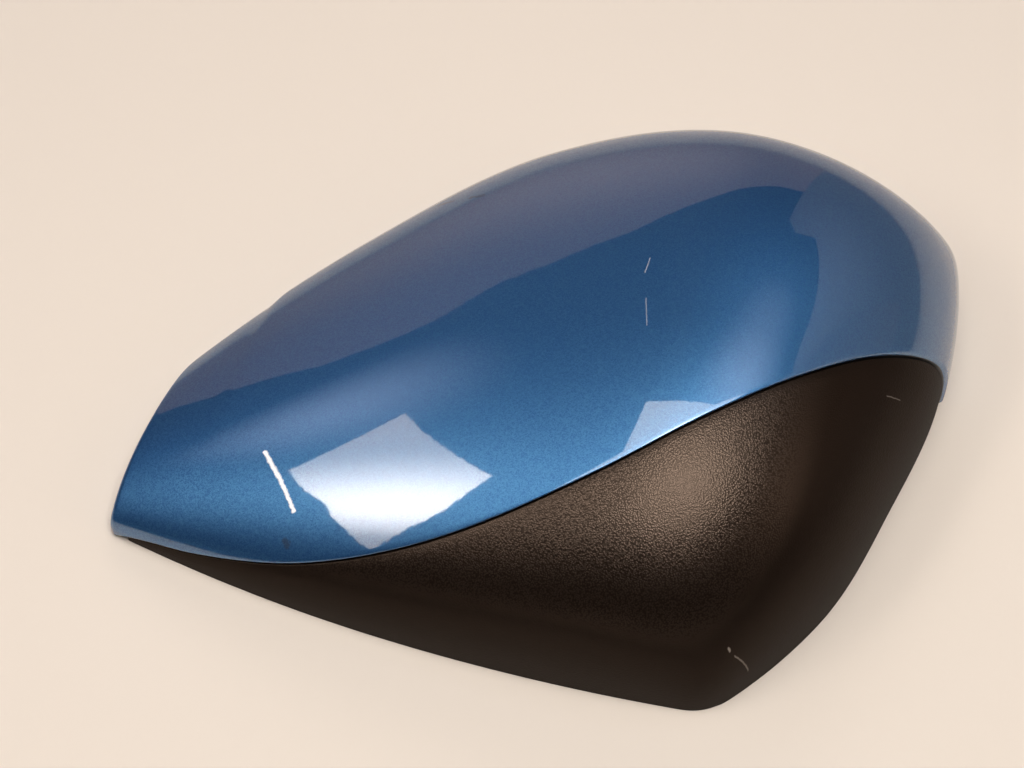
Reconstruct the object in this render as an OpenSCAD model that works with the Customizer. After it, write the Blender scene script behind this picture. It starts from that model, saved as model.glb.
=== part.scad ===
// Cover of a car's wing mirror, lying on its rim with the outside up.
// A painted shell and a grained lower shell share one lofted surface and meet at an S-shaped
// parting line. Plus X runs from the narrow outboard end to the broad inboard end, plus Y to the
// painted upper edge, and plus Z away from the rim.
// The rim is a quadrilateral with bowed sides. Its corners are the tip (narrow end, lower side),
// the toe (broad end, lower side), the heel (broad end, upper side) and the brow (narrow end,
// upper side).

/* [Rim outline] */
// Distance along the length from the tip to the toe
toe_along = 151; // [136:1:166]
// How far the toe lies below the tip
toe_down = 80; // [70:0.5:92]
// Distance along the length from the tip to the heel
heel_along = 251; // [232:0.5:268]
// How far the heel lies above the tip
heel_up = 42; // [28:0.5:46]
// Distance along the length from the tip to the brow
brow_along = 29.5; // [24:0.5:40]
// How far the brow lies above the tip
brow_up = 46.5; // [37:0.5:54]
// Outward bow of the lower edge, tip to toe
lower_bow = 5.9; // [2:0.1:10]
// Outward bow of the broad end, toe to heel
broad_bow = 16.9; // [8:0.1:24]
// Outward bow of the upper edge, brow to heel
upper_bow = 46.2; // [30:0.1:52]
// Outward bow of the narrow end, tip to brow
narrow_bow = 2.1; // [0.5:0.1:4]
// Outward step in the upper edge, where the rim was cut back for its seal
upper_step = 1.1; // [0:0.1:1.5]
// Length over which that step rises
upper_step_run = 6; // [3:0.5:12]
// Plan radius of the tip
tip_r = 4.2; // [3:0.1:9]
// Plan radius of the toe
toe_r = 19; // [2:1:30]
// Plan radius of the heel
heel_r = 9.5; // [4:0.5:14]
// Plan radius of the brow
brow_r = 37; // [10:1:80]

/* [Crown] */
// Height of the crown above the rim
crown_h = 57.5; // [50:0.5:70]
// Height of the narrow end above the rim
narrow_h = 13; // [9:0.1:16]
// Length over which the narrow end rolls up from the rim
narrow_roll = 2.6; // [1.5:0.1:5]

/* [Walls and seam] */
// Wall of the painted shell
paint_wall = 2.5; // [2:0.1:3]
// Wall of the lower shell
lower_wall = 2.5; // [2:0.1:3]
// How far the painted shell stands proud of the lower shell
proud = 0.8; // [0.4:0.1:1.2]
// Gap between the two shells at the parting line
seam_gap = 0.6; // [0.3:0.1:1.2]
// Chamfer along the painted shell's edge at the seam
seam_edge = 0.7; // [0.3:0.1:1]

/* [Underlap flange] */
// How far the lower shell's flange runs beneath the painted edge
flange_w = 5; // [3:0.5:8]
// Thickness of the flange
flange_t = 1.6; // [1.2:0.1:2.2]
// Clearance between the flange and the painted shell's inside
flange_clear = 0.4; // [0.3:0.05:0.6]
// Width of the ramp that carries the flange
joggle_w = 4; // [3:0.5:6]

/* [Snap hooks] */
// Width of each hook along the seam
hook_w = 9; // [6:0.5:14]
// Thickness of a hook's arm and lip
hook_t = 1.6; // [1.2:0.1:2.2]
// How far a hook's lip reaches under the flange
hook_reach = 2; // [1:0.25:3]
// Clearance between a hook and the flange
hook_clear = 0.3; // [0.2:0.05:0.5]

/* [Ribs] */
// Thickness of a rib
rib_t = 1.4; // [1:0.1:2]
// Height of a rib above the inside of its shell
rib_h = 4; // [2:0.5:6]

/* [Screw posts and peg] */
// Outer radius of a screw post
post_r = 3.6; // [3:0.1:5]
// Radius of the pilot bore for a thread-forming screw
screw_r = 1.5; // [1.2:0.05:1.9]
// Depth of the pilot bore
screw_depth = 11; // [8:0.5:13]
// Height of the post mouths above the rim
post_mouth = 6; // [4:0.5:10]
// Radius of the locating peg
peg_r = 2; // [1.5:0.1:2.8]
// Length of the locating peg below its shoulder
peg_l = 6; // [4:0.5:8]
// Distance of the narrow post from the tip, along the length
narrow_post_along = 56; // [52:1:66]
// Height of the narrow post above the tip
narrow_post_up = 38; // [26:1:42]
// Distance of the broad post from the tip, along the length
broad_post_along = 222; // [212:1:228]
// Height of the broad post above the tip
broad_post_up = 38; // [30:1:44]
// Distance of the lower post from the tip, along the length
lower_post_along = 143; // [132:1:152]
// How far the lower post lies below the tip
lower_post_down = 55; // [48:1:60]
// Distance of the locating peg from the tip, along the length
peg_along = 130; // [118:1:142]
// Height of the locating peg above the tip
peg_up = 74; // [66:1:78]

/* [Hidden] */

paint_colour = [0.13, 0.33, 0.56];
grain_colour = [0.09, 0.08, 0.07];

// Bows of the four sides, as shares of each side's own bow, at equal steps along it
lower_bow_shares = [0, 1, 0.95, 0];
broad_bow_shares = [0, 0.88, 1, 0.85, 0];
upper_bow_shares = [0, 0.62, 1, 0.86, 0];
narrow_bow_shares = [0, 1, 0];
// Where the upper edge steps out, along the brow to heel line
upper_step_share = 0.13;
// Where the crown lies, along the loft
crown_share = 0.751;
// How square the sections are, as superellipse powers
lower_narrow_power = 2.58;
lower_broad_power = 2.45;
upper_narrow_power = 2.64;
upper_broad_power = 3.11;
// How far the crest leans towards the upper edge
lean_share = 0.051;
// How the crest rises from the narrow end and falls to the broad end
rise_power = 1.2;
fall_power = 2.43;

// Parting line: how far up the section it lies, at places along the loft
seam_along_shares = [0, 0.05, 0.15, 0.35, 0.55, 0.7, 0.8, 0.87, 0.93, 1];
seam_up_shares = [0, 0.08, 0.115, 0.172, 0.244, 0.321, 0.397, 0.464, 0.536, 0.623];

// Places along the loft
lower_start_share = 0.03;
hook_at_shares = [0.3, 0.44, 0.58, 0.72, 0.86];
paint_rib_at_shares = [0.3, 0.5, 0.68];
lower_rib_at_shares = [0.55, 0.72];
rib_ends_shares = [0.12, 0.9];
lower_rib_end_share = 0.8;

// Fineness of the loft
stations = 34;
paint_steps = 26;
// The last step of the painted section, which stands nearly upright above the rim
rim_step_share = 0.04;
lower_steps = 18;
under_steps = 16;
crowding = 1.6;
round_fn = 48;

// Tip, toe, heel and brow, in order round the rim
rim_corners = [[0, 0], [toe_along, -toe_down], [heel_along, heel_up], [brow_along, brow_up]];
rim_radii = [tip_r, toe_r, heel_r, brow_r];
TIP = 0;
TOE = 1;
HEEL = 2;
BROW = 3;

function unit(v) = v / norm(v);
function clip(x, low, high) = min(max(x, low), high);

// Smooth curve through the points (xs, ys), read at x
function slope_at(xs, ys, i) =
    let (n = len(xs) - 1)
    i == 0 ? 2 * (ys[1] - ys[0]) / (xs[1] - xs[0]) - slope_at(xs, ys, 1)
    : i == n ? 2 * (ys[n] - ys[n - 1]) / (xs[n] - xs[n - 1]) - slope_at(xs, ys, n - 1)
    : (ys[i + 1] - ys[i - 1]) / (xs[i + 1] - xs[i - 1]);
function span_of(xs, x, i = 0) = i >= len(xs) - 2 || x < xs[i + 1] ? i : span_of(xs, x, i + 1);
function through(xs, ys, x) =
    let (i = span_of(xs, x), h = xs[i + 1] - xs[i], t = (x - xs[i]) / h)
    (2 * t ^ 3 - 3 * t ^ 2 + 1) * ys[i] + (t ^ 3 - 2 * t ^ 2 + t) * h * slope_at(xs, ys, i)
    + (3 * t ^ 2 - 2 * t ^ 3) * ys[i + 1] + (t ^ 3 - t ^ 2) * h * slope_at(xs, ys, i + 1);
function even(n) = [for (i = [0 : n]) i / n];

// Corners of the rim drawn in by d along its straight sides
function half_angle(v, w) = acos(clip(v * w, -1, 1)) / 2;
function corner(i, d) =
    let (v = unit(rim_corners[(i + 1) % 4] - rim_corners[i]), w = unit(rim_corners[(i + 3) % 4] - rim_corners[i]))
    rim_corners[i] + unit(v + w) * d / sin(half_angle(v, w));

// A side from corner i to corner j, bowed out, at share s
function bowed(i, j, s, bow, shares, d, outward, step = 0) =
    let (a = corner(i, d), b = corner(j, d), n = unit([b[1] - a[1], a[0] - b[0]]) * outward)
    a + (b - a) * s + n * (bow * through(even(len(shares) - 1), shares, s) + step);

// The four sides: from corner, to corner, bow, its shares, and which way is out
SIDES = [
    [TIP, TOE, lower_bow, lower_bow_shares, 1],
    [TOE, HEEL, broad_bow, broad_bow_shares, 1],
    [BROW, HEEL, upper_bow, upper_bow_shares, -1],
    [TIP, BROW, narrow_bow, narrow_bow_shares, -1]
];
LOWER = 0;
BROAD = 1;
UPPER = 2;
NARROW = 3;

// Directions in which a side leaves its two corners
near_share = 0.002;
function leaving(k, from_end) =
    let (q = SIDES[k], s = from_end ? 1 : 0, t = from_end ? 1 - near_share : near_share)
    unit(bowed(q[0], q[1], t, q[2], q[3], 0, q[4]) - bowed(q[0], q[1], s, q[2], q[3], 0, q[4]));
corner_ways = [
    [leaving(LOWER, false), leaving(NARROW, false)],
    [leaving(LOWER, true), leaving(BROAD, false)],
    [leaving(BROAD, true), leaving(UPPER, true)],
    [leaving(UPPER, false), leaving(NARROW, true)]
];
half_angles = [for (w = corner_ways) half_angle(w[0], w[1])];
inward = [for (w = corner_ways) unit(w[0] + w[1])];

// How far a rounded corner pulls a side in, at a length x from the corner
function pull(i, x, d) =
    let (r = max(rim_radii[i] - d, 0), reach = r / tan(half_angles[i]), w = reach > 0 ? 1 - clip(x / reach, 0, 1) : 0)
    inward[i] * (r / sin(half_angles[i]) - r) * w ^ 2;

// A side with its corners rounded off
function side_at(k, s, d, step = 0) =
    let (q = SIDES[k], l = norm(corner(q[1], d) - corner(q[0], d)))
    bowed(q[0], q[1], s, q[2], q[3], d, q[4], step) + pull(q[0], s * l, d) + pull(q[1], (1 - s) * l, d);

function smooth(x) = let (c = clip(x, 0, 1)) c * c * (3 - 2 * c);
upper_length = norm(rim_corners[HEEL] - rim_corners[BROW]);
function step_out(s) =
    upper_step * smooth((s - upper_step_share) * upper_length / upper_step_run + 0.5)
    * min((1 - s) / (1 - upper_step_share), 1);

// How far a side across the loft lies from the straight line between its ends
function bend(k, t, d) = side_at(k, t, d) - (side_at(k, 0, d) * (1 - t) + side_at(k, 1, d) * t);

// Height of the crest at share u along the loft, for a skin d below the outside
lower_length = norm(rim_corners[TOE] - rim_corners[TIP]);
function crest(u, d) =
    let (
        top = crown_h - d,
        end_share = (narrow_h - d) / top,
        back = clip((u - crown_share) / (1 - crown_share), 0, 1),
        front = clip((crown_share - u) / crown_share, 0, 1),
        roll = clip(1 - u * lower_length / narrow_roll, 0, 1)
    )
    top * (1 - back ^ fall_power) ^ (1 / fall_power)
    * (end_share + (1 - end_share) * (1 - front ^ rise_power)) * sqrt(1 - roll ^ 2);

// What one station of the loft needs: share, depth, its two side points, crest and section powers
function station(u, d) = [
    u, d, side_at(LOWER, u, d), side_at(UPPER, u, d, step_out(u)), crest(u, d),
    lower_narrow_power + (lower_broad_power - lower_narrow_power) * u,
    upper_narrow_power + (upper_broad_power - upper_narrow_power) * u
];

// Point of a station's section at share v, from the lower edge over the crest to the upper edge
function on(st, v) =
    let (
        u = st[0], d = st[1], c = cos(180 * v), s = sin(180 * v),
        n = v < 0.5 ? st[5] : st[6],
        q = (abs(c) ^ n + abs(s) ^ n) ^ (-1 / n),
        g = v <= 0 || v >= 1 ? 0 : s * q,
        x = c * q,
        t = (1 - x) / 2 + lean_share * (1 - x ^ 2),
        plan = st[2] * (1 - t) + st[3] * t + bend(BROAD, t, d) * u ^ 2 + bend(NARROW, t, d) * (1 - u) ^ 2
    )
    [plan[0], plan[1], st[4] * g];

function seam_at(u) = through(seam_along_shares, seam_up_shares, u);

// Millimetres along the section, and along the loft, for a unit of share at the parting line
nudge_share = 0.01;
function seam_speed(u) =
    let (st = station(max(u, roll_share), 0), v = clip(seam_at(u), nudge_share, 1 - nudge_share))
    norm(on(st, v + nudge_share) - on(st, v - nudge_share)) / (2 * nudge_share);
function loft_speed(u, v) =
    norm(point(u + nudge_share, v, 0) - point(u - nudge_share, v, 0)) / (2 * nudge_share);

// A solid swept along stations. Each ring is [outer points, inner points], paired one to one
module swept(rings) {
    m = len(rings[0][0]);
    n = 2 * m;
    points = [for (r = rings) each concat(r[0], [for (j = [m - 1 : -1 : 0]) r[1][j]])];
    sides = [
        for (i = [0 : len(rings) - 2]) for (j = [0 : n - 1])
            let (a = i * n + j, b = i * n + (j + 1) % n)
            each [[a, b, b + n], [a, b + n, a + n]]
    ];
    last = (len(rings) - 1) * n;
    caps = [
        for (j = [0 : m - 2])
            let (p = n - 1 - j, q = n - 2 - j)
            each [[j, p, q], [j, q, j + 1], [last + j, last + q, last + p], [last + j, last + j + 1, last + q]]
    ];
    polyhedron(points = points, faces = concat(sides, caps));
}

function point(u, v, d) = on(station(u, d), v);
function ring(u, outer, inner) = [
    [for (p = outer) point(u, p[0], p[1])],
    [for (p = inner) point(u, p[0], p[1])]
];

// Shares along the loft, crowded towards the broad end, with the narrow end's roll picked out
roll_share = narrow_roll / lower_length;
loft_shares = concat(
    [for (x = [0, 0.1, 0.35, 0.7]) x * roll_share],
    [for (i = [0 : stations - 1]) let (x = i / (stations - 1)) roll_share + (1 - roll_share) * (1 - (1 - x) ^ crowding)]
);
lower_shares = concat([lower_start_share], [for (u = loft_shares) if (u > lower_start_share + roll_share) u]);

function painted_ring(u) =
    let (
        speed = seam_speed(u),
        edge = seam_at(u) + seam_gap / 2 / speed,
        lip = edge + seam_edge / speed,
        vs = concat([for (k = [0 : paint_steps]) lip + (1 - rim_step_share - lip) * k / paint_steps], [1])
    )
    ring(u,
        concat([[edge, seam_edge]], [for (v = vs) [v, 0]]),
        concat([[edge, paint_wall]], [for (v = vs) [v, paint_wall]]));

flange_top = paint_wall + flange_clear;
flange_under = flange_top + flange_t;
lower_inside = proud + lower_wall;

function lower_ring(u) =
    let (
        speed = seam_speed(u),
        edge = seam_at(u) - seam_gap / 2 / speed,
        tip = edge + flange_w / speed,
        root = max(edge - joggle_w / speed, edge / 2),
        under = max(edge - flange_t / speed, (root + edge) / 2),
        vs = [for (k = [0 : lower_steps]) root * k / lower_steps]
    )
    ring(u,
        concat([for (v = vs) [v, proud]], [[edge, proud], [edge, flange_top], [tip, flange_top]]),
        concat([for (v = vs) [v, lower_inside]], [[under, flange_under], [edge, flange_under], [tip, flange_under]]));

// The space under the middle of the wall, which trims whatever hangs from a shell
under_shares = [for (i = [0 : under_steps + 4]) let (x = i / (under_steps + 4)) 1 - (1 - x) ^ crowding];
module under_skin(depth) {
    swept([
        for (u = under_shares)
            let (outer = [for (k = [0 : under_steps]) point(max(u, roll_share), k / under_steps, depth)])
            [outer, [for (p = outer) [p[0], p[1], -post_mouth]]]
    ]);
}

// A rib that crosses a shell at share u, between two shares of the section
module rib(u, from_v, to_v, inside) {
    n = round(paint_steps / 2);
    swept([
        for (k = [0 : n])
            let (v = from_v + (to_v - from_v) * k / n, half = rib_t / 2 / loft_speed(u, v))
            [
                [point(u + half, v, inside - rib_t / 2), point(u - half, v, inside - rib_t / 2)],
                [point(u + half, v, inside + rib_h), point(u - half, v, inside + rib_h)]
            ]
    ]);
}

// A hook on the painted shell that grips the flange from inside
module snap_hook(u) {
    half = hook_w / 2 / loft_speed(u, seam_at(u));
    swept([
        for (k = [-1 : 1])
            let (
                w = u + k * half,
                speed = seam_speed(w),
                tip = seam_at(w) + (flange_w - seam_gap / 2) / speed,
                arm = tip + hook_clear / speed,
                back = arm + hook_t / speed,
                lip = tip - hook_reach / speed,
                root = paint_wall - hook_t / 4,
                top = flange_under + hook_clear,
                under = top + hook_t
            )
            ring(w, [[back, root], [back, under], [lip, under]], [[arm, root], [arm, top], [lip, top]])
    ]);
}

// The rim's outline, and the middle of the box round it
rim_outline = concat(
    [for (u = loft_shares) point(u, 1, 0)],
    [for (u = lower_shares) point(u, 0, proud)],
    painted_ring(0)[0],
    painted_ring(1)[0],
    lower_ring(1)[0]
);
function middle(k) = let (xs = [for (p = rim_outline) p[k]]) (min(xs) + max(xs)) / 2;

module centred() {
    translate([-middle(0), -middle(1), 0]) children();
}

module post(x, y, h) {
    translate([x, y, post_mouth]) cylinder(r = post_r, h = h, $fn = round_fn);
}

module pilot(x, y) {
    translate([x, y, post_mouth - screw_r]) cylinder(r = screw_r, h = screw_depth + screw_r, $fn = round_fn);
}

module painted_cover() {
    color(paint_colour) centred() difference() {
        union() {
            swept([for (u = loft_shares) painted_ring(u)]);
            for (u = hook_at_shares) snap_hook(u);
            for (u = paint_rib_at_shares)
                rib(u, seam_at(u) + (1 - seam_at(u)) * rib_ends_shares[0], rib_ends_shares[1], paint_wall);
            intersection() {
                under_skin(paint_wall / 2);
                union() {
                    post(narrow_post_along, narrow_post_up, crown_h);
                    post(broad_post_along, broad_post_up, crown_h);
                    translate([0, 0, peg_l]) post(peg_along, peg_up, crown_h);
                    translate([peg_along, peg_up, post_mouth])
                        cylinder(r = peg_r, h = peg_l + peg_r, $fn = round_fn);
                }
            }
        }
        pilot(narrow_post_along, narrow_post_up);
        pilot(broad_post_along, broad_post_up);
    }
}

module lower_cover() {
    color(grain_colour) centred() difference() {
        union() {
            swept([for (u = lower_shares) lower_ring(u)]);
            for (u = lower_rib_at_shares)
                rib(u, seam_at(u) * rib_ends_shares[0], seam_at(u) * lower_rib_end_share, lower_inside);
            intersection() {
                under_skin(proud + lower_wall / 2);
                post(lower_post_along, -lower_post_down, crown_h);
            }
        }
        pilot(lower_post_along, -lower_post_down);
    }
}

painted_cover();
lower_cover();
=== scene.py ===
"""Cover of a car's wing mirror, lying on its rim, as it looks in the photograph.

Two mouldings share one lofted skin: a shell in metallic blue paint under clear coat, and a grained
black shell below the S-shaped parting line. Lengths in the classes are millimetres; pieces are
made in metres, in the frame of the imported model.
"""

import logging
import math
from dataclasses import dataclass
from enum import Enum
from typing import Any, Sequence

import bpy
import numpy as np
from mathutils import Matrix, Vector

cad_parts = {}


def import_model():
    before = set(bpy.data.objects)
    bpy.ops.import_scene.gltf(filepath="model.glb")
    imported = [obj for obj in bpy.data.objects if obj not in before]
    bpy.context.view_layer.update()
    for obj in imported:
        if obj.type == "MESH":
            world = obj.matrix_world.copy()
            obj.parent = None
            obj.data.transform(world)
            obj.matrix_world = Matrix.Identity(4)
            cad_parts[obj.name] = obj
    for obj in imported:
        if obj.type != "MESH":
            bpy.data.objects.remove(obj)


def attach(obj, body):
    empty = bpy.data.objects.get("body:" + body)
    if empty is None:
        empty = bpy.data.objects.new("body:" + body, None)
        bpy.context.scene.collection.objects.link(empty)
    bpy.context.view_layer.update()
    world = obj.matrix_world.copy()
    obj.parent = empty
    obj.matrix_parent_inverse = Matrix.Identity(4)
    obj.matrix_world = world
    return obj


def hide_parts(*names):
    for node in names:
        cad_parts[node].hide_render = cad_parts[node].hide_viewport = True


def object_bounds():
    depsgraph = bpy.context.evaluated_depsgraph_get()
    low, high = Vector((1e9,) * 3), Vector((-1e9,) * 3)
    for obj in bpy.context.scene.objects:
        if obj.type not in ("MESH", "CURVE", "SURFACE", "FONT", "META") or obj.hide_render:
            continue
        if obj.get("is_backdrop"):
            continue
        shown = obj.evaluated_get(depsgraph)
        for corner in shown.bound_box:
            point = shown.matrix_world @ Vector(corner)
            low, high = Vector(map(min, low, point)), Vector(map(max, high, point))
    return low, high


LOG = logging.getLogger("scene")

METRES = 0.001

Array = np.ndarray


class Corner(Enum):
    """Corners of the rim, in order round it."""

    TIP = 0
    TOE = 1
    HEEL = 2
    BROW = 3


class Place(Enum):
    """Sides of the rim."""

    LOWER = 0
    BROAD = 1
    UPPER = 2
    NARROW = 3


def linear(code: str) -> tuple[float, float, float, float]:
    """Turn an sRGB colour into the linear one that a shader takes.

    Args:
        code: Colour as "#RRGGBB".

    Returns:
        Linear red, green, blue and alpha.
    """
    shares = [int(code[i : i + 2], 16) / 255 for i in (1, 3, 5)]
    red, green, blue = [c / 12.92 if c <= 0.04045 else ((c + 0.055) / 1.055) ** 2.4 for c in shares]
    return red, green, blue, 1.0


def unit(v: Array) -> Array:
    """Scale a vector to length one.

    Args:
        v: Vector.

    Returns:
        The vector's direction.
    """
    return v / np.linalg.norm(v)


def through(xs: Sequence[float], ys: Sequence[float], x: Array) -> Array:
    """Read a smooth curve through a few points.

    Args:
        xs: Places of the points, rising.
        ys: Values at the points.
        x: Places to read.

    Returns:
        Values at x.
    """
    at, to = np.asarray(xs, float), np.asarray(ys, float)
    slope = np.empty_like(to)
    slope[1:-1] = (to[2:] - to[:-2]) / (at[2:] - at[:-2])
    slope[0] = 2 * (to[1] - to[0]) / (at[1] - at[0]) - slope[1]
    slope[-1] = 2 * (to[-1] - to[-2]) / (at[-1] - at[-2]) - slope[-2]
    i = np.clip(np.searchsorted(at, x, side="right") - 1, 0, len(at) - 2)
    h = at[i + 1] - at[i]
    t = (x - at[i]) / h
    rise = (2 * t**3 - 3 * t**2 + 1) * to[i] + (t**3 - 2 * t**2 + t) * h * slope[i]
    return rise + (3 * t**2 - 2 * t**3) * to[i + 1] + (t**3 - t**2) * h * slope[i + 1]


@dataclass(frozen=True)
class Side:
    """One bowed side of the rim.

    Attributes:
        start: Corner it starts from.
        end: Corner it ends at.
        bow: Largest bow outwards.
        shares: Shares of the bow at equal steps.
        outward: Plus or minus one, the side on which outwards lies.
    """

    start: Corner
    end: Corner
    bow: float
    shares: tuple[float, ...]
    outward: int


@dataclass(frozen=True)
class Skin:
    """The lofted surface that both shells are cut from, and every depth below it.

    Attributes:
        corners: Tip, toe, heel and brow in the plane of the rim.
        radii: Plan radii of those corners.
        sides: Lower, broad, upper and narrow side.
        step: Outward step in the upper edge.
        step_run: Length over which the step rises.
        step_share: Where it lies along the upper side.
        crown: Height of the crown.
        narrow: Height of the narrow end.
        roll: Length over which the narrow end rolls up.
        crown_share: Where the crown lies along the loft.
        crown_ease: Share of the loft over which the rise turns smoothly into the fall.
        lower_powers: Squareness of the lower half section, narrow and broad end.
        upper_powers: The same for the upper half.
        lean: How far the crest leans to the upper edge.
        rise_power: How the crest rises.
        fall_power: How it falls to the broad end.
        seam_along: Places along the loft where the parting line is given.
        seam_up: How far up the section it lies there.
        middle: Middle of the rim's box, which is the origin of the frame.
    """

    corners: tuple[tuple[float, float], ...] = ((0, 0), (151, -80), (251, 42), (29.5, 46.5))
    radii: tuple[float, ...] = (4.2, 19, 9.5, 37)
    sides: tuple[Side, ...] = (
        Side(Corner.TIP, Corner.TOE, 5.9, (0, 1, 0.95, 0), 1),
        Side(Corner.TOE, Corner.HEEL, 16.9, (0, 0.88, 1, 0.85, 0), 1),
        Side(Corner.BROW, Corner.HEEL, 46.2, (0, 0.62, 1, 0.86, 0), -1),
        Side(Corner.TIP, Corner.BROW, 2.1, (0, 1, 0), -1),
    )
    step: float = 1.1
    step_run: float = 6
    step_share: float = 0.13
    crown: float = 57.5
    narrow: float = 13
    roll: float = 2.6
    crown_share: float = 0.751
    crown_ease: float = 0.035
    lower_powers: tuple[float, float] = (2.58, 2.45)
    upper_powers: tuple[float, float] = (2.64, 3.11)
    lean: float = 0.051
    rise_power: float = 1.2
    fall_power: float = 2.43
    seam_along: tuple[float, ...] = (0, 0.05, 0.15, 0.35, 0.55, 0.7, 0.8, 0.87, 0.93, 1)
    seam_up: tuple[float, ...] = (0, 0.08, 0.115, 0.172, 0.244, 0.321, 0.397, 0.464, 0.536, 0.623)
    middle: tuple[float, float] = (125.521, 6.935)

    @property
    def lower_length(self) -> float:
        """Straight length from tip to toe."""
        return math.dist(self.corners[0], self.corners[1])

    @property
    def roll_share(self) -> float:
        """Share of the loft that the narrow end's roll takes."""
        return self.roll / self.lower_length

    def corner(self, i: int, depth: float) -> Array:
        """Place a corner of the rim, drawn in along its straight sides.

        Args:
            i: Corner's number.
            depth: How far it is drawn in.

        Returns:
            Point in the plane of the rim.
        """
        here = np.array(self.corners[i], float)
        ahead = unit(np.array(self.corners[(i + 1) % 4]) - here)
        behind = unit(np.array(self.corners[(i + 3) % 4]) - here)
        half = math.acos(float(ahead @ behind)) / 2
        return here + unit(ahead + behind) * depth / math.sin(half)

    def bowed(self, place: Place, s: Array, depth: float, step: Array | float = 0) -> Array:
        """Bow a side out, before its corners are rounded.

        Args:
            place: Which side.
            s: Shares along it.
            depth: How far it is drawn in.
            step: Extra distance outwards.

        Returns:
            Points, one a row.
        """
        side = self.sides[place.value]
        a, b = self.corner(side.start.value, depth), self.corner(side.end.value, depth)
        out = unit(np.array([b[1] - a[1], a[0] - b[0]])) * side.outward
        far = side.bow * through(np.linspace(0, 1, len(side.shares)), side.shares, s) + step
        return a + (b - a) * s[:, None] + far[:, None] * out

    def ways(self, i: int) -> tuple[float, Array]:
        """Find how the two sides meet at a corner.

        Args:
            i: Corner's number.

        Returns:
            Half the angle between them, and the direction midway.
        """
        leaving = []
        for place in Place:
            side = self.sides[place.value]
            ends = np.array([0, 0.002, 0.998, 1])
            if side.start.value == i:
                points = self.bowed(place, ends, 0)
                leaving.append(unit(points[1] - points[0]))
            elif side.end.value == i:
                points = self.bowed(place, ends, 0)
                leaving.append(unit(points[2] - points[3]))
        return math.acos(float(leaving[0] @ leaving[1])) / 2, unit(leaving[0] + leaving[1])

    def pull(self, i: int, x: Array, depth: float) -> Array:
        """Pull a side in where it rounds a corner.

        Args:
            i: Corner's number.
            x: Lengths from the corner.
            depth: How far the side is drawn in.

        Returns:
            Displacements, one a row.
        """
        radius = max(self.radii[i] - depth, 0)
        half, inward = self.ways(i)
        near = 1 - np.clip(x * math.tan(half) / radius, 0, 1) if radius > 0 else 0 * x
        return (near**2 * (radius / math.sin(half) - radius))[:, None] * inward

    def side_at(self, place: Place, s: Array, depth: float) -> Array:
        """Place points on a side with its corners rounded.

        Args:
            place: Which side.
            s: Shares along it.
            depth: How far it is drawn in.

        Returns:
            Points, one a row.
        """
        side = self.sides[place.value]
        i, j = side.start.value, side.end.value
        length = math.dist(self.corner(i, depth), self.corner(j, depth))
        step = self.step_out(s) if place is Place.UPPER else 0.0
        line = self.bowed(place, s, depth, step)
        return line + self.pull(i, s * length, depth) + self.pull(j, (1 - s) * length, depth)

    def step_out(self, s: Array) -> Array:
        """Step the upper edge out where the rim was cut back.

        Args:
            s: Shares along the upper side.

        Returns:
            Extra distances outwards.
        """
        length = math.dist(self.corners[2], self.corners[3])
        t = np.clip((s - self.step_share) * length / self.step_run + 0.5, 0, 1)
        return self.step * t * t * (3 - 2 * t) * np.minimum((1 - s) / (1 - self.step_share), 1)

    def bend(self, place: Place, t: Array, depth: float) -> Array:
        """Measure a side across the loft from the straight line between its ends.

        Args:
            place: Which side.
            t: Shares across the loft.
            depth: How far the side is drawn in.

        Returns:
            Displacements, one a row.
        """
        first, last = self.side_at(place, np.array([0.0, 1.0]), depth)
        return self.side_at(place, t, depth) - (first * (1 - t)[:, None] + last * t[:, None])

    def crest(self, u: Array, depth: Array) -> Array:
        """Find the height of the crest.

        Args:
            u: Shares along the loft.
            depth: Depths below the outside.

        Returns:
            Heights.
        """
        top = self.crown - depth
        end = (self.narrow - depth) / top
        off = u - self.crown_share
        far = np.hypot(off, self.crown_ease * np.clip(1 - (off / 0.2) ** 2, 0, 1) ** 2)
        back = np.clip((far + off) / 2 / (1 - self.crown_share), 0, 1)
        front = np.clip((far - off) / 2 / self.crown_share, 0, 1)
        roll = np.clip(1 - u / self.roll_share, 0, 1)
        fall = (1 - back**self.fall_power) ** (1 / self.fall_power)
        return top * fall * (end + (1 - end) * (1 - front**self.rise_power)) * np.sqrt(1 - roll**2)

    def flat(self, u: Array, v: Array, depth: float) -> Array:
        """Place points of one depth, given as plain rows.

        Args:
            u: Shares along the loft.
            v: Shares up the section.
            depth: Depth below the outside.

        Returns:
            Points in the drawing's millimetres, one a row.
        """
        c, s = np.cos(np.pi * v), np.sin(np.pi * v)
        low = self.lower_powers[0] + (self.lower_powers[1] - self.lower_powers[0]) * u
        high = self.upper_powers[0] + (self.upper_powers[1] - self.upper_powers[0]) * u
        power = np.where(v < 0.5, low, high)
        q = (np.abs(c) ** power + np.abs(s) ** power) ** (-1 / power)
        x = c * q
        t = (1 - x) / 2 + self.lean * (1 - x**2)
        plan = self.side_at(Place.LOWER, u, depth) * (1 - t)[:, None]
        plan += self.side_at(Place.UPPER, u, depth) * t[:, None]
        plan += self.bend(Place.BROAD, t, depth) * (u**2)[:, None]
        plan += self.bend(Place.NARROW, t, depth) * ((1 - u) ** 2)[:, None]
        return np.column_stack([plan, self.crest(u, depth) * np.maximum(s * q, 0)])

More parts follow.
